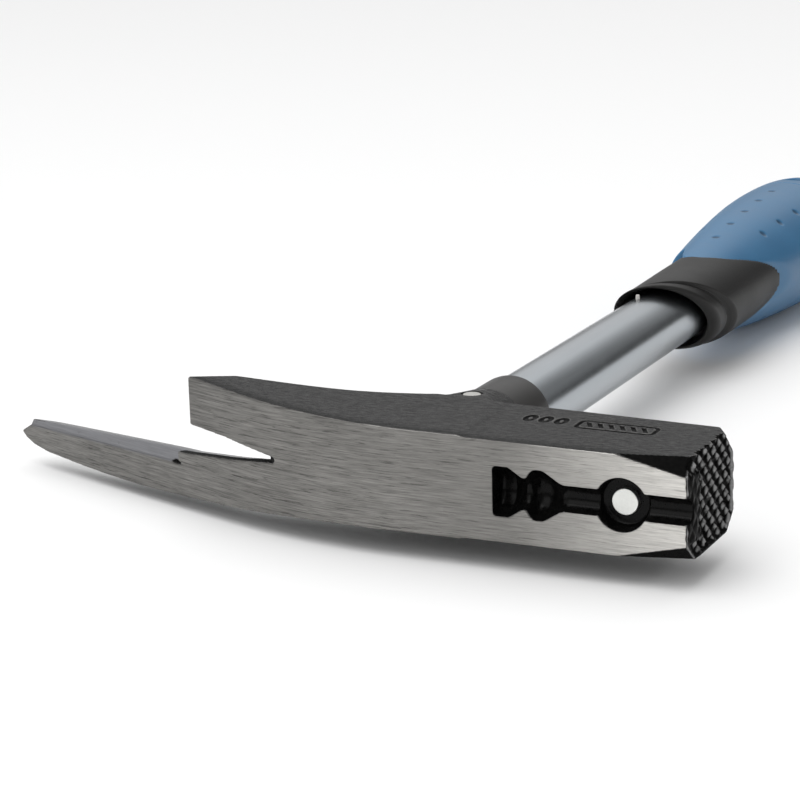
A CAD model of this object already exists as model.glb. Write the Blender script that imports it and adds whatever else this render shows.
"""Roofing hammer: detailed pieces, materials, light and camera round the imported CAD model.

Shapes are worked out in millimetres, as distance fields that are turned into meshes in metres.
"""

import math

import bpy
import numpy as np
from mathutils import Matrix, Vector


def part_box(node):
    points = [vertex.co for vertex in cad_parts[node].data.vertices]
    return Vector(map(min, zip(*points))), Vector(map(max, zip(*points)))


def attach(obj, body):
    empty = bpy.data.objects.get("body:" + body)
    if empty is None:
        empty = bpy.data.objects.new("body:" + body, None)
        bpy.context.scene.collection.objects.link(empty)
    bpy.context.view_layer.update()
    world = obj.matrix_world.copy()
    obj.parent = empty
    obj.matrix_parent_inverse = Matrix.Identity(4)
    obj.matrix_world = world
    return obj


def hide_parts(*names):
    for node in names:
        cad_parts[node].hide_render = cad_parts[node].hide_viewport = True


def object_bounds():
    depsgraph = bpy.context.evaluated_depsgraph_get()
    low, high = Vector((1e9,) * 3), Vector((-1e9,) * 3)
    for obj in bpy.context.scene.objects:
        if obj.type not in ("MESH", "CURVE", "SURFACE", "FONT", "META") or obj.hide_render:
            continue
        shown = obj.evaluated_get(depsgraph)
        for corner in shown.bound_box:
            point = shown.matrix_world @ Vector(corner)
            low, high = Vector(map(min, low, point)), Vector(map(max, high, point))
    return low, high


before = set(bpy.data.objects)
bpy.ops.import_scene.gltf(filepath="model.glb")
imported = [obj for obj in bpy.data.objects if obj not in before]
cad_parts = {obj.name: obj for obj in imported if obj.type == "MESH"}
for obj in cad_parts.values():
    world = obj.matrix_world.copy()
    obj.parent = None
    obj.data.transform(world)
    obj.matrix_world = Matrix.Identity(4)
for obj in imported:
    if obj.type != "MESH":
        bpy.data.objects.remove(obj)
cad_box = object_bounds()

import openvdb
from mathutils import Matrix, Vector

MM = 0.001
FAR = 9.0  # millimetres: stands for "nowhere near" in the head's marks

# ---------------------------------------------------------------- places, from the frame

def node_box(name):
    """Lowest and highest corners of a CAD node, in millimetres."""
    low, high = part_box(name)
    return np.array(low) / MM, np.array(high) / MM


HEAD_LOW, HEAD_HIGH = node_box("hammer_head")
TUBE_LOW, TUBE_HIGH = node_box("shaft_tube")
SLEEVE_LOW, SLEEVE_HIGH = node_box("neck_sleeve")
MAGNET_LOW, MAGNET_HIGH = node_box("nail_magnet")
PIN_LOW, PIN_HIGH = node_box("cross_pin")
COLLAR_LOW, COLLAR_HIGH = node_box("grip_collar")
BODY_LOW, BODY_HIGH = node_box("grip_body")
CAP_LOW, CAP_HIGH = node_box("grip_butt_cap")
FLOOR_Z = float(cad_box[0][2])  # metres

FACE_X = HEAD_HIGH[0]
TIP_X = HEAD_LOW[0]
TUBE_R = TUBE_HIGH[0]
SLEEVE_R = SLEEVE_HIGH[0]
WELL_X = (MAGNET_LOW[0] + MAGNET_HIGH[0]) / 2
MAGNET_R = (MAGNET_HIGH[0] - MAGNET_LOW[0]) / 2
PIN_R = PIN_HIGH[0]
PIN_Y = (PIN_LOW[1] + PIN_HIGH[1]) / 2
BUTT_Y = CAP_HIGH[1]
CAP_Y = CAP_LOW[1]

# ---------------------------------------------------------------- the head's own sizes

FACE_TOP, FACE_FOOT, FACE_DEPTH = 11.75, -12.05, 29.4
EYE_HALF, EYE_DEPTH, SHOULDER_X = 12.2, 31.4, 14.0
# Chamfers of the striking end's long edges: width at the face, and length along the edge
CHAMFER, BACK_UPPER_CHAMFER = (4.2, 18.5), (6.0, 3.6)
ARC_START, ARC_RADIUS, SLOPE = -3.0, 150.0, 0.36
TINE_X, TINE_HALF = -66.0, 16.3
NOTCH_X, NOTCH_R, DRAFT = -38.3, 0.7, 0.3
BEVEL_X, BEVEL_Z, BEVEL_TURN = -70.5, -6.8, 0.021
TIP_Z = -10.4
# Lean of the striking face towards the ground face, crown across it, and depth of its grooves
FACE_LEAN, FACE_CROWN, TOOTH_DEPTH = 0.9, 0.15, 1.35
# The two families of grooves in the striking face: direction across them (Y, Z), and pitch
TOOTH_ROWS = [(0.83, -0.56, 2.74), (0.70, 0.72, 3.14)]
# Nail holder: its inner end, radii (X, radius) of the pocket turned about X, and the magnet's well
POCKET_X, WELL_R, WELL_DEPTH = 21.0, 6.3, 4.3
POCKET = [(21.0, 5.9), (24.7, 5.9), (25.3, 5.6), (28.0, 3.85), (28.6, 3.7), (29.2, 3.8), (30.0, 5.0),
          (30.8, 5.75), (31.6, 5.95), (33.0, 5.95), (33.9, 5.6), (37.4, 3.4), (38.4, 3.05), (90, 3.05)]
SOCKET_Y = 8.5
# Stamped ornament on the upper cheek: rings, then a frame of bars
RING_CENTRES, RING_Y = (22.0, 25.9, 29.8), 20.8
FRAME_X, FRAME_Y, BAR_PITCH = 43.8, 20.2, 2.7
STAMP_DEPTH = 0.6

# ---------------------------------------------------------------- the grip's own sizes

# The mouth's plane: Y = MOUTH_Y + MOUTH_X * X + MOUTH_Z * Z
MOUTH_Y, MOUTH_X, MOUTH_Z = 172.0, 0.6, -0.96
BORE_R, BORE_X, BORE_FLARE, BORE_DEPTH = 10.25, -0.5, 1.1, 8.0
LIP_R, LIP_LENGTH = 12.7, 2.9
CORE_R, CORE_START, CORE_END = 11.2, 192.0, 291.0
HANG_Y, HANG_R = 302.5, 3.5
# Stations (Y, half size in X, half size in Z) of the collar and of the palm swell
COLLAR_STATIONS = [(130, 13.7, 12.2), (165, 13.9, 12.4), (190, 14.3, 12.8), (216, 14.6, 13.0),
                   (250, 14.7, 13.1)]
COLLAR_OFFSET = 1.6
SWELL_STATIONS = [(190, 11.5, 11.5), (203, 12.7, 12.6), (218, 14.7, 14.6), (232, 16.4, 16.2),
                  (247, 18.1, 17.6), (268, 20.2, 18.9), (286, 21.0, 19.18), (302, 20.5, 18.6),
                  (318, 18.2, 16.5)]
# Side view (X, Y) of the joint line between the collar and the body
JOINT_LINE = [(-30, 220), (-8.5, 216), (-5, 204.5), (0, 201), (3, 200.9), (7.5, 205.8), (10.6, 213.5),
              (13.5, 224), (16.2, 235.4), (20, 250)]
# Dimples: radius, depth, pitch along a row, first row's start, and angle between rows
DIMPLE_R, DIMPLE_DEPTH, DIMPLE_PITCH, DIMPLE_Y, DIMPLE_TURN = 1.4, 0.6, 14.0, 220.2, 36.0
BUTT_ROUND = 5.0
NUB_X, NUB_Y = -1.9, 157.0


# ---------------------------------------------------------------- distance fields

def intersect(a, b, r):
    """Both solids, with the edge between them rounded to radius r."""
    return np.minimum(-r, np.maximum(a, b)) + np.hypot(np.maximum(r + a, 0), np.maximum(r + b, 0))


def subtract(a, b, r):
    """The first solid without the second, with rounded edges."""
    return intersect(a, -b, r)


def unite(a, b, r):
    """Either solid, with a fillet of radius r between them."""
    return np.maximum(r, np.minimum(a, b)) - np.hypot(np.maximum(r - a, 0), np.maximum(r - b, 0))


def smooth_step(low, high, value):
    t = np.clip((value - low) / (high - low), 0, 1)
    return t * t * (3 - 2 * t)


def outline_distance(px, py, points):
    """Signed distance to a closed outline, negative inside."""
    pts = np.array(points, float)
    best = np.full(np.broadcast(px, py).shape, 1e9)
    inside = np.zeros(best.shape, bool)
    for (ax, ay), (bx, by) in zip(pts, np.roll(pts, -1, axis=0)):
        ex, ey = bx - ax, by - ay
        length = ex * ex + ey * ey
        if length < 1e-12:
            continue
        t = np.clip(((px - ax) * ex + (py - ay) * ey) / length, 0, 1)
        best = np.minimum(best, np.hypot(px - ax - t * ex, py - ay - t * ey))
        if abs(ey) > 1e-12:
            inside ^= ((ay > py) != (by > py)) & (px < ax + ex * (py - ay) / ey)
    return np.where(inside, -best, best)


def smooth_line(points, count=12):
    """A Catmull-Rom curve through the points."""
    pts = np.array(points, float)
    ends = np.vstack([2 * pts[0] - pts[1], pts, 2 * pts[-1] - pts[-2]])
    out = []
    for a, b, c, d in zip(ends, ends[1:], ends[2:], ends[3:]):
        for t in np.linspace(0, 1, count, endpoint=False):
            out.append(0.5 * (2 * b + (c - a) * t + (2 * a - 5 * b + 4 * c - d) * t ** 2
                              + (3 * b - a - 3 * c + d) * t ** 3))
    out.append(pts[-1])
    return [tuple(p) for p in out]


def claw_y(x):
    """The ground face's distance from its plane: flat, then an arc, then straight."""
    x = np.asarray(x, float)
    reach = ARC_RADIUS * math.sin(math.atan(SLOPE))
    run = np.clip(ARC_START - x, 0, reach)
    arc = ARC_RADIUS - np.sqrt(ARC_RADIUS ** 2 - run ** 2)
    return arc + SLOPE * np.maximum(ARC_START - x - reach, 0)


def ground_depth(x, y):
    """How far a point lies behind the ground face, square to it."""
    run = np.clip(ARC_START - x, 0, ARC_RADIUS * math.sin(math.atan(SLOPE)))
    return (y - claw_y(x)) * np.sqrt(1 - (run / ARC_RADIUS) ** 2)


# ---------------------------------------------------------------- blocks and meshes

def main_body(pts, tris, quads):
    """The largest connected part of a mesh: specks where thin walls run out are left behind."""
    tris, quads = tris.reshape(-1, 3), quads.reshape(-1, 4)
    edges = np.concatenate([tris[:, :2], tris[:, 1:], quads[:, :2], quads[:, 1:3], quads[:, 2:]])
    label = np.arange(len(pts))
    settled = False
    while not settled:
        low = np.minimum(label[edges[:, 0]], label[edges[:, 1]])
        lower = label.copy()
        np.minimum.at(lower, edges[:, 0], low)
        np.minimum.at(lower, edges[:, 1], low)
        lower = lower[lower]
        settled = np.array_equal(lower, label)
        label = lower
    keep = label == np.bincount(label).argmax()
    place = np.cumsum(keep) - 1
    return pts[keep], place[tris[keep[tris[:, 0]]]], place[quads[keep[quads[:, 0]]]]


class Block:
    """A solid's distance field on a regular grid, which steps change within a range of X."""

    def __init__(self, low, high, step):
        self.step = step
        self.low = np.array(low, float) - 3 * step
        counts = np.ceil((np.array(high, float) - self.low) / step).astype(int) + 4
        axes = [(self.low[k] + step * np.arange(counts[k])).astype(np.float32) for k in range(3)]
        self.x, self.y, self.z = axes[0][:, None, None], axes[1][None, :, None], axes[2][None, None, :]
        self.value = None

    def change(self, rule, low_x=-1e9, high_x=1e9):
        """rule(value, x, y, z) gives the new field between two values of X."""
        inside = np.nonzero((self.x[:, 0, 0] >= low_x) & (self.x[:, 0, 0] <= high_x))[0]
        part = slice(inside[0], inside[-1] + 1)
        self.value[part] = rule(self.value[part], self.x[part], self.y, self.z)

    def sample(self, pts):
        """Trilinear value of the field at points."""
        g = np.clip((pts - self.low) / self.step, 0, np.array(self.value.shape) - 1.001)
        i = g.astype(int)
        f = g - i
        total = np.zeros(len(pts))
        for corner in np.ndindex(2, 2, 2):
            weight = np.prod(np.where(corner, f, 1 - f), axis=1)
            total += weight * self.value[tuple((i + corner).T)]
        return total

    def slope(self, pts):
        """Unit gradient of the field at points."""
        g = np.zeros((len(pts), 3))
        for k, d in enumerate(np.eye(3) * self.step * 0.6):
            g[:, k] = self.sample(pts + d) - self.sample(pts - d)
        return g / np.maximum(np.linalg.norm(g, axis=1), 1e-9)[:, None]

    def curvature(self, pts, reach):
        """How sharply the surface turns, per millimetre: positive on outer edges."""
        total = -6 * self.sample(pts)
        for d in np.eye(3) * reach:
            total += self.sample(pts + d) + self.sample(pts - d)
        return total / reach ** 2

    def mesh(self, name):
        """An object whose surface is where the field is zero, with normals from the field."""
        grid = openvdb.FloatGrid(float(self.value.max()))
        grid.copyFromArray(self.value)
        pts, tris, quads = grid.convertToPolygons(0.0, 0.0)
        pts, tris, quads = main_body(np.array(pts, float), np.array(tris, int), np.array(quads, int))
        pts = pts * self.step + self.low
        # the points move onto the surface itself, which keeps edges crisp
        for _ in range(3):
            offset = np.clip(self.sample(pts), -0.3 * self.step, 0.3 * self.step)
            pts -= self.slope(pts) * offset[:, None]
        normals = self.slope(pts)
        faces = [tuple(f) for f in tris[:, ::-1].tolist()] + [tuple(f) for f in quads[:, ::-1].tolist()]
        mesh = bpy.data.meshes.new(name)
        mesh.from_pydata((pts * MM).tolist(), [], faces)
        mesh.update()
        first = mesh.polygons[len(mesh.polygons) // 2]
        if np.dot(first.normal, normals[first.vertices[0]]) < 0:
            mesh.flip_normals()
        mesh.polygons.foreach_set("use_smooth", np.ones(len(mesh.polygons), bool))
        mesh.normals_split_custom_set_from_vertices(normals.tolist())
        return link(name, mesh), pts


def link(name, mesh):
    obj = bpy.data.objects.new(name, mesh)
    bpy.context.scene.collection.objects.link(obj)
    return obj


def add_attribute(obj, name, values):
    layer = obj.data.attributes.new(name, "FLOAT", "POINT")
    layer.data.foreach_set("value", np.asarray(values, np.float32))


def detail(fine, coarse):
    """A grid step in millimetres, coarser while trying things."""
    return fine


# ---------------------------------------------------------------- head

def back_side():
    """Side view of the forging's back, as far as the side claw's edge; the ground face is open."""
    edge_y = float(claw_y(TINE_X)) + 0.3
    back = smooth_line([(-56.4, 20.6), (-40.0, 23.1), (-28.2, 25.0), (-18.8, 27.6), (-8.0, 31.8)])
    return ([(TINE_X, -20.0), (TINE_X, edge_y)] + back
            + [(SHOULDER_X, EYE_DEPTH), (FACE_X + 6, FACE_DEPTH), (FACE_X + 6, -20.0)])


def spike_back():
    """Side view of the spike, open on the ground face and inside the forging."""
    tip_y = float(claw_y(TIP_X)) + 0.6
    ground = [(-26.0, -20.0), (TIP_X, -20.0)]
    return ground + [(TIP_X, tip_y), (-123.0, 39.4), (-50.0, 22.6), (-26.0, 25.0)]


def head_plan():
    """The head seen along the shaft, without the claw's opening."""
    upper = smooth_line([(0, EYE_HALF), (-18.8, 13.0), (-37.6, 14.05), (-56.4, 15.6),
                         (TINE_X, TINE_HALF)])
    lower = smooth_line([(0, -EYE_HALF), (-28.2, -13.15), (-56.4, -14.8), (-84.0, -15.9),
                         (-104.0, -15.5), (-122.0, -14.4)])
    nose = [(-127.4, -13.3), (-130.4, -12.0), (TIP_X, TIP_Z), (-128.2, -8.0)]
    far = [(-128.2, TINE_HALF), (-70.0, TINE_HALF)]
    return [(FACE_X + 6, FACE_FOOT)] + lower + nose + far + upper[::-1] + [(FACE_X + 6, FACE_TOP)]


def notch_field(x, y, z):
    """Negative inside the claw's opening: it narrows just behind the ground face, then widens."""
    depth = y - claw_y(x)
    lean = DRAFT * depth
    spike_lean = np.interp(depth, [-20, 0, 1.3, 6.0, 40], [0, 0, -0.35, 0.85, 14])
    tine = np.interp(-x, [-NOTCH_X, 53.6, 67.0, 140.0], [NOTCH_R, 2.95, 3.95, 9.4])
    spike_x = [-NOTCH_X, 52.6, 66.0, 68.5, 74.0, 131.0]
    spike = np.interp(-x, spike_x, [-NOTCH_R, -2.4, -3.8, -4.0, -4.1, -7.3])
    square = 1 / math.sqrt(1 + DRAFT ** 2)
    apex_x = NOTCH_X + np.interp(depth, [-20, 0, 1.6, 30], [0, 0, -2.6, 0])
    wedge = np.maximum(np.maximum(z - tine - lean, spike - spike_lean - z) * square, x - apex_x)
    apex = (np.hypot(x - apex_x, z) - (NOTCH_R + 0.1 + 0.15 * np.maximum(depth, 0))) * square
    return np.minimum(wedge, apex)


def bevel_field(x, y, z):
    """Positive where the ground chamfer along the spike's inner edge has taken metal away."""
    depth = y - claw_y(x)
    plane = (z - BEVEL_Z + BEVEL_TURN * (BEVEL_X - x) - depth) * math.sqrt(0.5)
    end = (BEVEL_X - 0.8 + 1.1 * np.maximum(depth, -1) + 0.1 * depth ** 2 - x) * 0.6
    return np.minimum(plane, end)


def corner_field(x, y, z, y_side, z_side):
    """Positive outside the plane that chamfers one long edge of the striking end to a point."""
    depth = FACE_DEPTH if y_side > 0 else 0.0
    edge_z = FACE_TOP if z_side > 0 else FACE_FOOT
    width, length = BACK_UPPER_CHAMFER if y_side > 0 and z_side > 0 else CHAMFER
    apex = np.array([FACE_X - length, depth, edge_z * 1.01])
    across = np.array([FACE_X, depth, edge_z - z_side * width])
    along = np.array([FACE_X, depth - y_side * width, edge_z])
    n = np.cross(across - apex, along - apex)
    n *= np.sign(n[1]) * y_side / np.linalg.norm(n)
    return n[0] * (x - apex[0]) + n[1] * (y - apex[1]) + n[2] * (z - apex[2])


def corners_field(x, y, z):
    return np.maximum.reduce([corner_field(x, y, z, a, b) for a in (1, -1) for b in (1, -1)])


def face_plane(y, z):
    """X of the striking face without its grooves: crowned, and drawn back towards the ground face."""
    near = np.clip(1 - y / 7.5, 0, 1.2)
    lean = FACE_LEAN * ((1 - y / FACE_DEPTH) * 0.35 + 0.65 * near ** 2)
    return FACE_X - 0.05 - lean - FACE_CROWN * (z / FACE_TOP) ** 2


def face_field(x, y, z):
    """Positive in front of the striking face, with its two crossed families of grooves."""
    cy = y - FACE_DEPTH / 2
    groove = 0
    # hand-cut look: the grooves wander a little, and their depth varies
    for ny, nz, pitch in TOOTH_ROWS:
        across = cy * ny + z * nz + 0.4
        across = across + 0.16 * np.sin(1.1 * z - 0.6 * cy) + 0.12 * np.sin(2.3 * cy + z)
        away = np.abs((across / pitch) % 1.0 - 0.5) * pitch
        groove = np.maximum(groove, np.clip(1.12 * (1 - away / (0.46 * pitch)), 0, 1))
    groove = groove * (1 + 0.15 * np.sin(0.9 * cy + 1.7 * z))
    # nearly plain beside the ground face, and whole at the face's rim
    plain = smooth_step(9.0, 6.0, y + 0.6 * np.sin(1.2 * z)) * smooth_step(9.5, 7.5, np.abs(z))
    rim = np.minimum(smooth_step(0.4, 1.8, z - FACE_FOOT), smooth_step(-0.3, 0.9, FACE_DEPTH - y))
    rim = np.minimum(rim, smooth_step(0.2, 1.4, -corner_field(x, y, z, 1, -1)))
    rim = np.minimum(rim, smooth_step(0.2, 1.4, -corner_field(x, y, z, -1, -1)))
    return (x - face_plane(y, z) + TOOTH_DEPTH * groove * (1 - 0.85 * plain) * rim) * 0.72


def nail_field(x, y, z):
    """Negative inside the nail holder: a turned pocket along X, and the magnet's well."""
    radius = np.interp(x, *zip(*POCKET))
    pocket = intersect(np.hypot(y, z) - radius, POCKET_X - x, 0.9)
    around = np.hypot(x - WELL_X, z) - (WELL_R - 0.13 * np.clip(y, 0, WELL_DEPTH))
    return unite(pocket, intersect(around, y - WELL_DEPTH, 0.7), 0.3)


def stamp_field(x, y):
    """Distance, in plan, to the strokes of the plain ornament on the upper cheek."""
    strokes = np.full(np.broadcast(x, y).shape, FAR)
    for centre in RING_CENTRES:
        ring = np.abs(np.hypot((x - centre) / 1.5, (y - RING_Y) / 2.6) - 0.72) * 1.6 - 0.6
        strokes = np.minimum(strokes, ring)
    bx, by = np.abs(x - FRAME_X) - 7.9, np.abs(y - FRAME_Y) - 1.5
    box = np.hypot(np.maximum(bx, 0), np.maximum(by, 0)) + np.minimum(np.maximum(bx, by), 0) - 1.5
    strokes = np.minimum(strokes, np.abs(box) - 0.5)
    slanted = x - FRAME_X + 0.5 * (y - FRAME_Y)
    bars = np.abs((slanted / BAR_PITCH) % 1.0 - 0.5) * BAR_PITCH - 0.55
    return np.minimum(strokes, np.maximum(bars, box + 1.2))


def neck_field(x, y, z):
    """The turned neck under the sleeve, between flat sides."""
    ys = [20, 29.0, 30.7, 33.6, 38.0, SLEEVE_LOW[1]]
    radius = np.interp(y, ys, [17.5, 16.3, 14.6, 12.95, 12.1, 10.9])
    turned = np.maximum((np.hypot(x, z) - radius) * 0.9, y - SLEEVE_LOW[1])
    return intersect(turned, np.abs(z) - EYE_HALF, 0.35)


def tip_field(x, y, z):
    """Positive outside the small facets that bring the spike to a point."""
    tip = np.array([TIP_X - 0.2, float(claw_y(TIP_X)) + 0.3, TIP_Z])
    planes = []
    for ny, nz in ((-0.35, -0.45), (-0.3, 0.75), (0.8, 0.35), (0.7, -0.6)):
        n = np.array([-1.0, ny, nz]) / math.sqrt(1 + ny * ny + nz * nz)
        planes.append(n[0] * (x - tip[0]) + n[1] * (y - tip[1]) + n[2] * (z - tip[2]))
    return np.maximum.reduce(planes)


def make_head():
    """The forging: its outlines first, then what is cut from it and ground off."""
    block = Block(HEAD_LOW, HEAD_HIGH, detail(0.3, 0.4))
    x, y, z = block.x, block.y, block.z
    plan = outline_distance(x, z, head_plan())
    back = outline_distance(x, y, back_side())
    spike = intersect(outline_distance(x, y, spike_back()), z + 1.5, 0.3)
    block.value = np.minimum(intersect(back, plan, 0.9), intersect(spike, plan, 0.6)).astype(np.float32)
    undercut = np.array([BEVEL_X - 1.2, float(claw_y(BEVEL_X - 1.2)), BEVEL_Z])

    def undercut_field(x, y, z):
        across = np.hypot((x - undercut[0]) / 1.7, (z - undercut[2] + 0.1) / 0.42)
        return (np.hypot(across, (y - undercut[1]) / 1.6) - 1) * 0.42

    def socket(v, x, y, z):
        return subtract(v, np.maximum(np.hypot(x, z) - TUBE_R, SOCKET_Y - y), 0.1)

    def pin_bore(v, x, y, z):
        pin = np.maximum(np.hypot(x, y - PIN_Y) - PIN_R - 0.4, EYE_HALF - 0.6 - np.abs(z))
        return np.maximum(v, -pin)

    def stamp(v, x, y, z):
        surface = EYE_HALF + (FACE_TOP - EYE_HALF) / FACE_X * x
        return subtract(v, np.maximum(stamp_field(x, y), surface - STAMP_DEPTH - z), 0.12)

    block.change(lambda v, x, y, z: subtract(v, notch_field(x, y, z), 0.2), high_x=-30)
    block.change(lambda v, x, y, z: unite(v, neck_field(x, y, z), 1.0), -26, 26)
    block.change(lambda v, x, y, z: np.maximum(v, y - SLEEVE_LOW[1]), -26, 26)
    block.change(socket, -12, 12)
    block.change(lambda v, x, y, z: intersect(v, -ground_depth(x, y), 0.22))
    block.change(lambda v, x, y, z: intersect(v, np.maximum(bevel_field(x, y, z), -9), 0.12), high_x=-60)
    block.change(lambda v, x, y, z: subtract(v, undercut_field(x, y, z), 0.1), -76, -68)
    block.change(lambda v, x, y, z: intersect(v, tip_field(x, y, z), 0.12), high_x=-118)
    block.change(lambda v, x, y, z: intersect(v, corners_field(x, y, z), 0.25), low_x=40)
    block.change(lambda v, x, y, z: intersect(v, face_field(x, y, z), 0.14), low_x=58)
    block.change(lambda v, x, y, z: subtract(v, nail_field(x, y, z), 0.2), low_x=18)
    block.change(pin_bore, -6, 6)
    block.change(stamp, 17, 58)
    head, pts = block.mesh("forged_head")
    mark_head(head, block, pts, undercut_field(*pts.T))
    return head


def mark_head(head, block, pts, undercut):
    """Stores where the head is bare steel, polished, shaded, scuffed or glossy, for its materials."""
    x, y, z = pts.T
    depth = ground_depth(x, y)
    normal = block.slope(pts)
    corners = np.where(x > 45, corners_field(x, y, z), -FAR)
    nail = np.where(x > 18, nail_field(x, y, z), FAR)
    face = np.where(x > 55, face_field(x, y, z), -FAR)
    bevel = np.where(x < BEVEL_X + 6, np.abs(bevel_field(x, y, z)), FAR)
    tip = np.where(x < -118, np.abs(tip_field(x, y, z)), FAR)
    notch = np.where(x < -30, np.abs(notch_field(x, y, z)), FAR)
    wall = (notch < 0.3) & (z < 0) & (x < -46) & (depth > 1.5)
    polished = np.where(wall, 0.0, np.minimum(bevel, tip))
    # below zero where the steel is bare: the ground face, the facet and the tip
    near_undercut = np.where(np.abs(x - BEVEL_X) < 6, undercut, FAR)
    bare = np.maximum.reduce([depth - 0.16, 0.12 - nail, corners + 0.1, face + 0.25])
    bare = np.maximum(np.minimum(bare, polished - 0.1), 0.06 - near_undercut)
    # dark places: the claw's walls, the cheek beside the ground face, the pin's seat and the stamps
    marks = np.where((x > 17) & (x < 58) & (z > 9), stamp_field(x, y), FAR)
    pin_gap = np.abs(np.hypot(x, y - PIN_Y) - PIN_R - 0.2)
    shade = np.maximum.reduce([
        np.where((notch < 0.3) & (depth > 0.2) & (polished > 0.1), 1.0, 0.0),
        np.where(z > 5, 0.55 * smooth_step(5.0, 0.3, depth), 0.0),
        smooth_step(0.6, 0.2, pin_gap) * (z > 11),
        np.clip(0.5 - marks / 0.3, 0, 0.8)])
    # worn sides of the teeth, near their crests
    crest = smooth_step(-0.66, -0.42, (x - face_plane(y, z)) / TOOTH_DEPTH)
    on_face = np.clip(1.5 - np.abs(face) / 0.2, 0, 1) * crest * smooth_step(0.3, 1.2, nail)
    add_attribute(head, "bare", bare)
    add_attribute(head, "smooth", np.clip(1.8 - polished / 0.15, 0, 1))
    add_attribute(head, "ridge", block.curvature(pts, 0.45))
    add_attribute(head, "shade", shade)
    add_attribute(head, "scuff", on_face * np.clip(-4 * normal[:, 1] - 1.2, 0, 1))
    # which of the three coats: forging, glossy, or the darkest one on the chamfers and the face
    coat = np.where((np.abs(nail) < 0.3) & (bare > 0.03), 1, 0)
    coat = np.where((np.minimum(np.abs(corners), np.abs(face)) < 0.3) & (bare > 0.03), 2, coat)
    corner = np.zeros(len(head.data.loops), int)
    head.data.loops.foreach_get("vertex_index", corner)
    starts = np.zeros(len(head.data.polygons), int)
    head.data.polygons.foreach_get("loop_start", starts)
    head.data.polygons.foreach_set("material_index", np.minimum.reduceat(coat[corner], starts))


# ---------------------------------------------------------------- turned pieces

def turned(name, profile, centre=(0.0, 0.0, 0.0), axis="Y", sides=160):
    """A closed ring or solid turned about an axis, from (radius, distance along the axis) points."""
    rings = []
    verts = []
    for radius, along in profile:
        if radius < 1e-9:
            rings.append([len(verts)])
            verts.append((0.0, along, 0.0))
            continue
        rings.append(list(range(len(verts), len(verts) + sides)))
        for i in range(sides):
            angle = 2 * math.pi * i / sides
            verts.append((radius * math.cos(angle), along, radius * math.sin(angle)))
    faces = []
    closed = profile[0][0] > 1e-9
    pairs = list(zip(rings, rings[1:])) + ([(rings[-1], rings[0])] if closed else [])
    for a, b in pairs:
        for i in range(sides):
            j = (i + 1) % sides
            corners = [a[i % len(a)], a[j % len(a)], b[j % len(b)], b[i % len(b)]]
            faces.append(list(dict.fromkeys(corners)))
    points = np.array(verts)
    if axis == "Z":
        points = points[:, [0, 2, 1]] * [1, -1, 1]
    points = (points + centre) * MM
    mesh = bpy.data.meshes.new(name)
    mesh.from_pydata(points.tolist(), [], faces)
    mesh.update()
    mesh.polygons.foreach_set("use_smooth", np.ones(len(faces), bool))
    obj = link(name, mesh)
    bpy.context.view_layer.objects.active = obj
    obj.select_set(True)
    bpy.ops.object.mode_set(mode="EDIT")
    bpy.ops.mesh.select_all(action="SELECT")
    bpy.ops.mesh.normals_make_consistent(inside=False)
    bpy.ops.object.mode_set(mode="OBJECT")
    bpy.ops.object.shade_smooth_by_angle(angle=math.radians(35))
    obj.select_set(False)
    return obj


def rounded_end(radius, end, bend, side=1, steps=5):
    """Profile points of a rounded edge, from the end's flat round to the side."""
    out = []
    for i in range(steps + 1):
        angle = math.pi / 2 * i / steps
        out.append((radius - bend + bend * math.sin(angle), end - side * bend * (1 - math.cos(angle))))
    return out


def make_tube():
    wall = 1.8
    inner = TUBE_R - wall
    outer = rounded_end(TUBE_R, TUBE_LOW[1], 0.2, -1) + rounded_end(TUBE_R, TUBE_HIGH[1], 0.2)[::-1]
    return turned("chromed_tube", outer + [(inner, TUBE_HIGH[1]), (inner, TUBE_LOW[1])], sides=200)


def make_sleeve():
    low, high = SLEEVE_LOW[1], SLEEVE_HIGH[1]
    rim = 0.55
    outer = [(SLEEVE_R - 0.12, low), (SLEEVE_R, low + 0.15), (SLEEVE_R, high - rim - 0.9),
             (SLEEVE_R - 0.05, high - rim - 0.6)]
    edge = rounded_end(SLEEVE_R - 0.12, high, rim)[::-1]
    bore = [(TUBE_R + 0.02, high), (TUBE_R + 0.02, low)]
    return turned("shaft_sleeve", outer + edge + bore, sides=200)


def make_magnet():
    top, foot = MAGNET_LOW[1], MAGNET_HIGH[1]
    edge = rounded_end(MAGNET_R, top, 0.28, -1)
    profile = [(0, top + 0.06), (1.2, top + 0.05), (MAGNET_R - 0.8, top + 0.02)] + edge
    return turned("magnet_disc", profile + [(MAGNET_R, foot), (0, foot)], (WELL_X, 0, 0), sides=96)


def make_pin():
    half = PIN_HIGH[2]
    edge = rounded_end(PIN_R, half, 0.35)
    top = [(0, half), (PIN_R - 0.9, half)] + edge
    return turned("locking_pin", top + [(r, -h) for r, h in top[::-1]], (0, PIN_Y, 0), "Z", 64)


# ---------------------------------------------------------------- grip

def station(stations, column, y):
    """A station's size at y, on a smooth curve through the stations."""
    curve = np.array(smooth_line([(s[0], s[column]) for s in stations]))
    return np.interp(y, curve[:, 0], curve[:, 1])


def oval_field(x, z, half_x, half_z, centre=0.0):
    """Close to the distance to an oval section about the shaft's axis."""
    return (np.hypot((x - centre) / half_x, z / half_z) - 1) * np.minimum(half_x, half_z)


def mouth_distance(x, y, z):
    """How far a point lies inside the grip's slanted mouth."""
    return (y - MOUTH_Y - MOUTH_X * x - MOUTH_Z * z) / math.sqrt(1 + MOUTH_X ** 2 + MOUTH_Z ** 2)


def joint_side(x, y):
    """Negative on the body's side of its joint line with the collar, which both sides share."""
    curve = [JOINT_LINE[0]] + smooth_line(JOINT_LINE[1:]) + [(25, 267), (26, 400), (-30, 400)]
    return outline_distance(x, y, curve)


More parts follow.
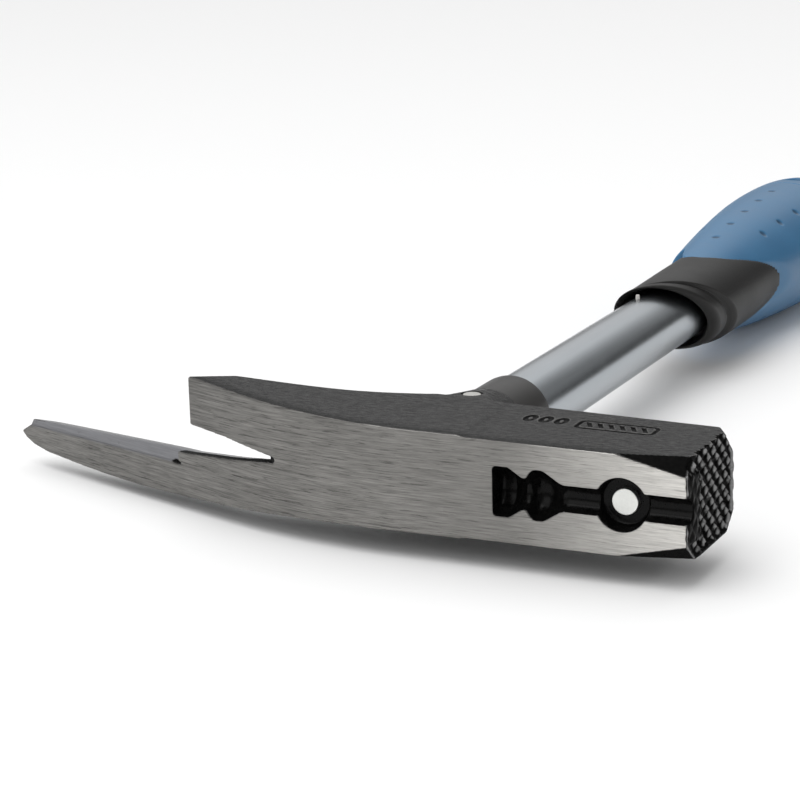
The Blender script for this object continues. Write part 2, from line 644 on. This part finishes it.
def swell_field(x, y, z):
    return oval_field(x, z, station(SWELL_STATIONS, 1, y), station(SWELL_STATIONS, 2, y)) * 0.97


def hollow_field(x, y, z):
    """Negative inside the space that the shaft and the grip's core fill."""
    radial = np.hypot(x, z)
    core = np.maximum(np.maximum(radial - CORE_R, CORE_START - y), y - CORE_END)
    return np.minimum(np.maximum(radial - TUBE_R, y - CORE_END), core)


def make_collar():
    low, high = COLLAR_LOW, COLLAR_HIGH
    block = Block(low, high, detail(0.33, 0.5))
    x, y, z = block.x, block.y, block.z
    depth = mouth_distance(x, y, z)
    lip_length = LIP_LENGTH + 0.2 * x
    past_lip = smooth_step(-0.2, 1.0, depth - lip_length)
    half_x, half_z = station(COLLAR_STATIONS, 1, y), station(COLLAR_STATIONS, 2, y)
    skin = oval_field(x, z, half_x - 0.15, half_z - 0.15, COLLAR_OFFSET)
    lip = oval_field(x, z, LIP_R + 0.45, LIP_R - 0.5, COLLAR_OFFSET * 0.5)
    outer = lip + (skin - lip) * past_lip
    crease = 0.35 * np.exp(-((depth - lip_length) / 0.45) ** 2) * smooth_step(-9, 2, x)
    value = intersect(outer + crease, -depth, 1.4)
    flare = BORE_FLARE * smooth_step(3.2, 0.2, depth)
    bore = np.maximum(np.hypot(x - BORE_X, z) - BORE_R - flare, depth - BORE_DEPTH)
    value = subtract(value, bore, 0.5)
    value = intersect(value, -joint_side(x, y), 0.15)
    block.value = subtract(value, hollow_field(x, y, z), 0.05).astype(np.float32)
    collar, pts = block.mesh("grip_collar_shell")
    add_attribute(collar, "ridge", block.curvature(pts, 0.6))
    return collar


def dimple_rows():
    """Centres (X, Y, Z) of the dimples, in rows along the swell's upper and lower sides."""
    for side in (1, -1):
        for column in (-1, 0, 1):
            angle = math.radians(DIMPLE_TURN * column)
            for row in range(5):
                y = DIMPLE_Y + DIMPLE_PITCH * row + (DIMPLE_PITCH + 2.0 if column else 0)
                radius_x, radius_z = station(SWELL_STATIONS, 1, y), station(SWELL_STATIONS, 2, y)
                yield radius_x * math.sin(angle), y, side * radius_z * math.cos(angle)


def make_swell(name, low, high, start_y, end_y):
    """The part of the palm swell between two distances along the shaft."""
    block = Block(low, high, detail(0.36, 0.55))
    x, y, z = block.x, block.y, block.z
    value = swell_field(x, y, z)
    for cx, cy, cz in dimple_rows():
        span = DIMPLE_R * DIMPLE_R / (2 * DIMPLE_DEPTH)
        out = np.array([cx, 0, cz]) / math.hypot(cx, cz)
        ball = np.sqrt((x - cx - out[0] * span) ** 2 + (y - cy) ** 2 + (z - cz - out[2] * span) ** 2)
        value = subtract(value, ball - span - DIMPLE_DEPTH * 0.8, 0.25)
    if start_y is None:
        value = intersect(value, joint_side(x, y), 0.4)
    else:
        value = intersect(value, start_y - y, 0.35)
    value = intersect(value, y - end_y, BUTT_ROUND if end_y >= BUTT_Y else 0.35)
    if end_y >= BUTT_Y:
        value = subtract(value, np.hypot(x, y - HANG_Y) - HANG_R, 1.0)
    block.value = subtract(value, hollow_field(x, y, z), 0.05).astype(np.float32)
    swell, pts = block.mesh(name)
    add_attribute(swell, "ridge", block.curvature(pts, 0.6))
    centres = np.array(list(dimple_rows()))
    near = np.min([np.linalg.norm(pts - c, axis=1) for c in centres], axis=0)
    add_attribute(swell, "dimple", np.clip((DIMPLE_R + 0.1 - near) / 0.5, 0, 1))
    return swell


def make_nub():
    """The little pale moulding nub that stands between the tube and the grip's lip."""
    nub = turned("moulding_nub", [(0, 0.0), (0.35, 0.08), (0.6, 0.35), (0.62, 0.8), (0.5, 1.6), (0, 1.7)],
                 (NUB_X, 0, 0), "Z", 24)
    nub.data.transform(Matrix.Translation((0, NUB_Y * MM, (TUBE_R - 0.6) * MM)))
    return nub


# ---------------------------------------------------------------- materials

class Graph:
    """A node material with one Principled shader at its end."""

    def __init__(self, name):
        self.material = bpy.data.materials.new(name)
        self.material.use_nodes = True
        self.tree = self.material.node_tree
        self.shader = self.tree.nodes["Principled BSDF"]
        place = self.tree.nodes.new("ShaderNodeTexCoord").outputs["Object"]
        self.place = self.vector("SCALE", place, scale=1 / MM)

    def feed(self, socket, value):
        if isinstance(value, bpy.types.NodeSocket):
            self.tree.links.new(value, socket)
        else:
            socket.default_value = value

    def vector(self, operation, a, b=None, scale=None):
        node = self.tree.nodes.new("ShaderNodeVectorMath")
        node.operation = operation
        self.feed(node.inputs[0], a)
        if b is not None:
            self.feed(node.inputs[1], b)
        if scale is not None:
            self.feed(node.inputs["Scale"], scale)
        return node.outputs["Value" if operation == "LENGTH" else "Vector"]

    def math(self, operation, a, b=0.0):
        node = self.tree.nodes.new("ShaderNodeMath")
        node.operation = operation
        self.feed(node.inputs[0], a)
        self.feed(node.inputs[1], b)
        return node.outputs[0]

    def noise(self, scale, detail=3.0, stretch=(1, 1, 1), roughness=0.55, offset=(0, 0, 0)):
        """Noise from about 0 to 1; scale is in turns per millimetre."""
        node = self.tree.nodes.new("ShaderNodeTexNoise")
        where = self.vector("MULTIPLY", self.vector("ADD", self.place, offset), stretch)
        self.feed(node.inputs["Vector"], where)
        node.inputs["Scale"].default_value = scale
        node.inputs["Detail"].default_value = detail
        node.inputs["Roughness"].default_value = roughness
        return node.outputs["Fac"]

    def attribute(self, name):
        node = self.tree.nodes.new("ShaderNodeAttribute")
        node.attribute_name = name
        return node.outputs["Fac"]

    def step(self, value, low, high, to_low=0.0, to_high=1.0):
        """A smooth step from to_low to to_high as value goes from low to high."""
        node = self.tree.nodes.new("ShaderNodeMapRange")
        node.interpolation_type = "SMOOTHSTEP"
        for socket, number in zip(node.inputs[:5], (value, low, high, to_low, to_high)):
            self.feed(socket, number)
        return node.outputs[0]

    def span(self, value, low, high, to_low, to_high):
        node = self.tree.nodes.new("ShaderNodeMapRange")
        for socket, number in zip(node.inputs[:5], (value, low, high, to_low, to_high)):
            self.feed(socket, number)
        return node.outputs[0]

    def mix(self, share, a, b):
        """A colour between a and b."""
        node = self.tree.nodes.new("ShaderNodeMix")
        node.data_type = "RGBA"
        for socket, value in ((node.inputs["Factor"], share), (node.inputs[6], a), (node.inputs[7], b)):
            self.feed(socket, value)
        return node.outputs[2]

    def mix_value(self, share, a, b):
        node = self.tree.nodes.new("ShaderNodeMix")
        for socket, value in ((node.inputs["Factor"], share), (node.inputs[2], a), (node.inputs[3], b)):
            self.feed(socket, value)
        return node.outputs[0]

    def bump(self, height, distance):
        """Bump of a height from 0 to 1; distance is in millimetres."""
        node = self.tree.nodes.new("ShaderNodeBump")
        node.inputs["Distance"].default_value = distance * MM
        node.inputs["Strength"].default_value = 1.0
        self.feed(node.inputs["Height"], height)
        return node.outputs[0]

    def set(self, **values):
        for name, value in values.items():
            self.feed(self.shader.inputs[name.replace("_", " ")], value)
        return self.material


def grey(value, warmth=0.0):
    """A grey colour, a little warm where warmth is above zero."""
    return (value * (1 + warmth), value, value * (1 - warmth), 1.0)


def forging_material():
    """Black coat with a leathery skin, and the bare ground steel where the coat has been ground off."""
    g = Graph("forged_and_ground")
    ridge, shade = g.attribute("ridge"), g.attribute("shade")
    split = g.tree.nodes.new("ShaderNodeSeparateXYZ")
    g.feed(split.inputs[0], g.place)
    along = split.outputs[0]
    # ragged border between coat and bare steel
    ragged = g.span(along, -10.0, -50.0, 0.12, 0.4)
    wander = g.math("MULTIPLY", g.math("SUBTRACT", g.noise(0.9, 4.0), 0.5), ragged)
    steel = g.step(g.math("ADD", g.attribute("bare"), wander), -0.04, 0.05, 1.0, 0.0)
    # grinding lines along the head
    coarse = g.noise(1.0, 4.0, (0.07, 0.05, 2.3), 0.7)
    fine = g.noise(1.0, 3.0, (0.17, 0.1, 5.5), 0.6, (7, 3, 1))
    streak = g.noise(1.0, 4.0, (0.14, 0.05, 3.0), 0.7, (31, 5, 9))
    cloud = g.noise(0.05, 4.0)
    lines = g.math("ADD", g.math("MULTIPLY", coarse, 0.5), g.math("MULTIPLY", fine, 0.5))
    contrast = g.step(along, 50.0, -40.0, 0.55, 1.0)
    bright = g.math("MULTIPLY", g.span(lines, 0.35, 0.65, -0.45, 0.45), contrast)
    bright = g.math("ADD", 1.0, bright)
    dark = g.mix_value(contrast, 1.0, g.step(streak, 0.55, 0.66, 1.0, 0.45))
    tone = g.math("ADD", g.step(along, 75.0, 20.0, 1.15, 0.38),
                  g.step(along, 0.0, -60.0, 0.0, -0.07))
    tone = g.math("MULTIPLY", tone, g.span(cloud, 0.3, 0.7, 0.9, 1.1))
    level = g.math("MULTIPLY", g.math("MULTIPLY", bright, dark), tone)
    steel_colour = g.vector("SCALE", (0.565, 0.552, 0.525), scale=level)
    polished = g.vector("SCALE", (0.198, 0.2, 0.21), scale=g.math("ADD", 0.5, lines))
    lit = g.mix(g.attribute("smooth"), steel_colour, polished)
    # coat
    skin = g.noise(1.0, 5.0, (0.5, 1, 1), 0.66, (3, 8, 2))
    pores = g.noise(2.4, 3.0, (0.8, 1, 1))
    coat_colour = g.mix(g.span(skin, 0.35, 0.65, 0, 1), grey(0.004), grey(0.021, 0.03))
    coat_colour = g.mix(shade, coat_colour, grey(0.003))
    wear = g.math("ADD", ridge, g.math("MULTIPLY", g.noise(1.6, 3.0), 1.6))
    worn = g.step(wear, 2.1, 3.4, 0.0, 0.6)
    coat_colour = g.mix(worn, coat_colour, grey(0.18, 0.02))
    metal = g.math("MAXIMUM", steel, g.math("MULTIPLY", worn, 0.6))
    rough_steel = g.span(lines, 0.3, 0.7, 0.28, 0.40)
    rough_coat = g.mix_value(shade, g.span(skin, 0.35, 0.65, 0.52, 0.30), 0.8)
    leather = g.math("ADD", skin, g.math("MULTIPLY", pores, 0.5))
    height = g.mix_value(steel, leather, g.math("MULTIPLY", lines, 0.10))
    return g.set(Base_Color=g.mix(steel, coat_colour, lit), Metallic=metal, Specular_IOR_Level=0.29,
                 Roughness=g.mix_value(steel, rough_coat, rough_steel), Normal=g.bump(height, 0.7))


def enamel_material(name, specular, chips):
    """The coat where it lies thick and glossy; edges sharper than chips show through it."""
    g = Graph(name)
    ridge, scuff = g.attribute("ridge"), g.attribute("scuff")
    skin = g.noise(0.9, 4.0, (1, 1, 1), 0.6, (5, 2, 9))
    colour = g.mix(g.span(skin, 0.35, 0.65, 0, 1), grey(0.002), grey(0.005, 0.03))
    scuffed = g.math("MULTIPLY", scuff, g.span(skin, 0.3, 0.7, 0.7, 1.0))
    colour = g.mix(scuffed, colour, grey(0.34))
    wear = g.math("ADD", ridge, g.math("MULTIPLY", g.noise(1.3, 3.0), 2.5))
    chip = g.step(wear, chips, chips + 1.4, 0.0, 0.3)
    colour = g.mix(chip, colour, grey(0.14, 0.02))
    return g.set(Base_Color=colour, Roughness=g.span(skin, 0.35, 0.65, 0.15, 0.26),
                 Specular_IOR_Level=specular, Normal=g.bump(skin, 0.03))


def chrome_material():
    """Satin chrome: light, a little blue, with faint lines along the tube."""
    g = Graph("satin_chrome")
    drawn = g.noise(1.0, 3.0, (3.0, 0.03, 3.0), 0.5)
    mottle = g.noise(0.08, 3.0)
    level = g.math("MULTIPLY", g.span(drawn, 0.3, 0.7, 0.98, 1.02),
                   g.span(mottle, 0.3, 0.7, 0.98, 1.02))
    colour = g.vector("SCALE", (0.375, 0.401, 0.424), scale=level)
    return g.set(Base_Color=colour, Metallic=1.0, Roughness=g.span(mottle, 0.3, 0.7, 0.21, 0.25),
                 Normal=g.bump(drawn, 0.0015))


def faced_metal(name, colour, centre, across, low_rough, high_rough):
    """Bright metal with scuffs and turning rings round a centre; across is 0 along their axis."""
    g = Graph(name)
    out = g.vector("MULTIPLY", g.vector("SUBTRACT", g.place, centre), across)
    radius = g.vector("LENGTH", out)
    noise = g.tree.nodes.new("ShaderNodeTexNoise")
    noise.noise_dimensions = "1D"
    g.feed(noise.inputs["W"], g.math("MULTIPLY", radius, 4.0))
    noise.inputs["Detail"].default_value = 3.0
    rings = noise.outputs[0]
    scuff = g.noise(1.1, 4.0)
    level = g.math("MULTIPLY", g.span(rings, 0.3, 0.7, 0.94, 1.04), g.span(scuff, 0.3, 0.7, 0.95, 1.03))
    roughness = g.span(scuff, 0.3, 0.7, low_rough, high_rough)
    return g.set(Base_Color=g.vector("SCALE", colour, scale=level), Metallic=1.0, Roughness=roughness,
                 Normal=g.bump(rings, 0.02))


def moulded(name, dark, light, rough, specular=0.35, grain=(1.6, 0.015), dimples=False):
    """Moulded plastic or rubber: two close tones, a fine grain and rubbed edges."""
    g = Graph(name)
    cloud = g.noise(0.05, 4.0)
    speck = g.noise(grain[0] * 3, 1.0, offset=(4, 9, 2))
    colour = g.mix(g.span(cloud, 0.35, 0.65, 0, 1), dark, light)
    rubbed = g.step(g.attribute("ridge"), 0.35, 1.8, 0.0, 0.3)
    colour = g.mix(rubbed, colour, tuple(min(1, c * 1.6 + 0.01) for c in light[:3]) + (1,))
    if dimples:
        colour = g.mix(g.attribute("dimple"), colour, tuple(c * 0.5 for c in dark[:3]) + (1,))
    low, high = rough
    roughness = g.math("ADD", g.span(cloud, 0.35, 0.65, low, high),
                       g.span(speck, 0.3, 0.7, -0.02, 0.02))
    return g.set(Base_Color=colour, Roughness=roughness, Specular_IOR_Level=specular,
                 Normal=g.bump(g.noise(grain[0], 3.0), grain[1]))


# ---------------------------------------------------------------- light, floor, camera

# Brightness of the surroundings by the height (Z), the depth (Y) and the side (X) of a direction
HEIGHT_LIGHT = [(-1, 0.6), (-0.02, 0.33), (0.02, 0.17), (0.13, 0.2), (0.25, 0.58), (0.5, 0.66),
                (0.72, 1.0), (1, 1.0)]
DEPTH_LIGHT = [(-1, 0.7), (-0.3, 0.85), (0.3, 1.0), (1, 1.0)]
SIDE_LIGHT = [(-1, 1.0), (0.0, 1.0), (0.15, 0.66), (0.35, 0.3), (0.6, 0.4), (1, 0.55)]


def make_world():
    """Soft studio surroundings: darker near the horizon and in front, brightest behind the grip."""
    world = bpy.data.worlds.new("studio")
    bpy.context.scene.world = world
    world.use_nodes = True
    nodes, links = world.node_tree.nodes, world.node_tree.links
    split = nodes.new("ShaderNodeSeparateXYZ")
    links.new(nodes.new("ShaderNodeTexCoord").outputs["Generated"], split.inputs[0])
    light = None
    for source, stops in zip((2, 1, 0), (HEIGHT_LIGHT, DEPTH_LIGHT, SIDE_LIGHT)):
        turn = nodes.new("ShaderNodeMapRange")
        turn.inputs["From Min"].default_value = -1.0
        ramp = nodes.new("ShaderNodeValToRGB")
        links.new(split.outputs[source], turn.inputs["Value"])
        links.new(turn.outputs[0], ramp.inputs[0])
        ends = ramp.color_ramp.elements
        ends[0].color, ends[1].color = grey(stops[0][1]), grey(stops[-1][1])
        for place, level in stops[1:-1]:
            ends.new((place + 1) / 2).color = grey(level)
        if light is None:
            light = ramp.outputs[0]
            continue
        both = nodes.new("ShaderNodeMix")
        both.data_type, both.blend_type = "RGBA", "MULTIPLY"
        both.inputs["Factor"].default_value = 1.0
        links.new(light, both.inputs[6])
        links.new(ramp.outputs[0], both.inputs[7])
        light = both.outputs[2]
    links.new(light, nodes["Background"].inputs["Color"])
    nodes["Background"].inputs["Strength"].default_value = 1.5


def area_light(name, place, target, size, power):
    data = bpy.data.lights.new(name, "AREA")
    data.shape = "RECTANGLE"
    data.size, data.size_y = size
    data.energy = power
    lamp = bpy.data.objects.new(name, data)
    lamp.location = place
    lamp.rotation_euler = (Vector(target) - Vector(place)).to_track_quat("-Z", "Y").to_euler()
    bpy.context.scene.collection.objects.link(lamp)


def make_floor():
    half = 4.0
    mesh = bpy.data.meshes.new("floor")
    corners = [(x, y, FLOOR_Z) for x, y in ((-half, -half), (half, -half), (half, half), (-half, half))]
    mesh.from_pydata(corners, [], [(0, 1, 2, 3)])
    floor = link("floor", mesh)
    g = Graph("floor")
    floor.data.materials.append(g.set(Base_Color=(0.93, 0.93, 0.93, 1), Roughness=0.9))


def make_camera():
    """The camera's axes and place in the model's frame, in metres."""
    right = Vector((0.9025997, 0.4296419, -0.0268634))
    up = Vector((-0.0886592, 0.2465970, 0.9650541))
    forward = Vector((-0.4212521, 0.8686759, -0.2606700))
    data = bpy.data.cameras.new("camera")
    data.sensor_width = 36.0
    data.lens = 115.28
    camera = bpy.data.objects.new("camera", data)
    rotation = Matrix((right, up, -forward)).transposed()
    camera.matrix_world = Matrix.Translation((0.246594, -0.512204, 0.173147)) @ rotation.to_4x4()
    bpy.context.scene.collection.objects.link(camera)
    bpy.context.scene.camera = camera


# ---------------------------------------------------------------- putting it together

def finish_piece(obj, materials, slot, *nodes):
    """Gives a piece its material or materials, its CAD nodes and its body."""
    for material in materials if isinstance(materials, list) else [materials]:
        obj.data.materials.append(material)
    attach(obj, "root")
    if nodes:
        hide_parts(*nodes)


make_camera()
make_world()
make_floor()
bpy.context.scene.view_settings.view_transform = "Standard"
area_light("overhead", (-0.1, -0.45, 1.3), (0, 0.1, 0), (1.2, 0.9), 6.0)
area_light("front", (-0.5, -1.5, 0.9), (0, 0.05, 0), (1.2, 0.8), 3.0)
area_light("side", (1.3, 0.0, 0.75), (0.06, 0.02, 0), (0.22, 0.22), 1.4)

plating = faced_metal("bright_plating", (0.80, 0.81, 0.78), (WELL_X, MAGNET_LOW[1], 0), (1, 0, 1),
                      0.3, 0.42)
cut_steel = faced_metal("cut_steel", (0.62, 0.61, 0.58), (0, PIN_Y, 0), (1, 1, 0), 0.25, 0.4)
black_rubber = moulded("black_rubber", grey(0.009, 0.02), grey(0.014, 0.03), (0.40, 0.48), 0.2)
blue_rubber = moulded("blue_rubber", (0.022, 0.124, 0.258, 1), (0.030, 0.145, 0.29, 1),
                      (0.34, 0.42), 0.5, dimples=True)
satin_plastic = moulded("satin_plastic", grey(0.012, 0.08), grey(0.016, 0.08), (0.38, 0.46), 0.4,
                        (2.5, 0.008))
core_plastic = moulded("core_plastic", grey(0.06), grey(0.085), (0.5, 0.6))
pale_plastic = moulded("pale_plastic", grey(0.55, 0.05), grey(0.7, 0.05), (0.4, 0.5))

coats = [forging_material(),
         enamel_material("black_enamel", specular=0.1, chips=3.8),
         enamel_material("face_enamel", specular=0.012, chips=4.6)]
finish_piece(make_head(), coats, "forging", "hammer_head")
finish_piece(make_tube(), chrome_material(), "tube_chrome", "shaft_tube")
finish_piece(make_sleeve(), satin_plastic, "sleeve_plastic", "neck_sleeve")
finish_piece(make_magnet(), plating, "magnet_plating", "nail_magnet")
finish_piece(make_pin(), cut_steel, "bare_steel", "cross_pin")
finish_piece(make_collar(), black_rubber, "grip_black", "grip_collar")
body = make_swell("grip_body_shell", BODY_LOW, BODY_HIGH, None, CAP_Y)
finish_piece(body, blue_rubber, "grip_blue", "grip_body")
butt = make_swell("butt_cap_shell", CAP_LOW, CAP_HIGH, CAP_Y, BUTT_Y)
finish_piece(butt, blue_rubber, "grip_blue", "grip_butt_cap")
finish_piece(make_nub(), pale_plastic, "core_plastic")

for node in ("shaft_core", "tube_end_plug", "grip_core"):
    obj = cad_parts[node]
    obj.data.materials.clear()
    obj.data.materials.append(core_plastic)
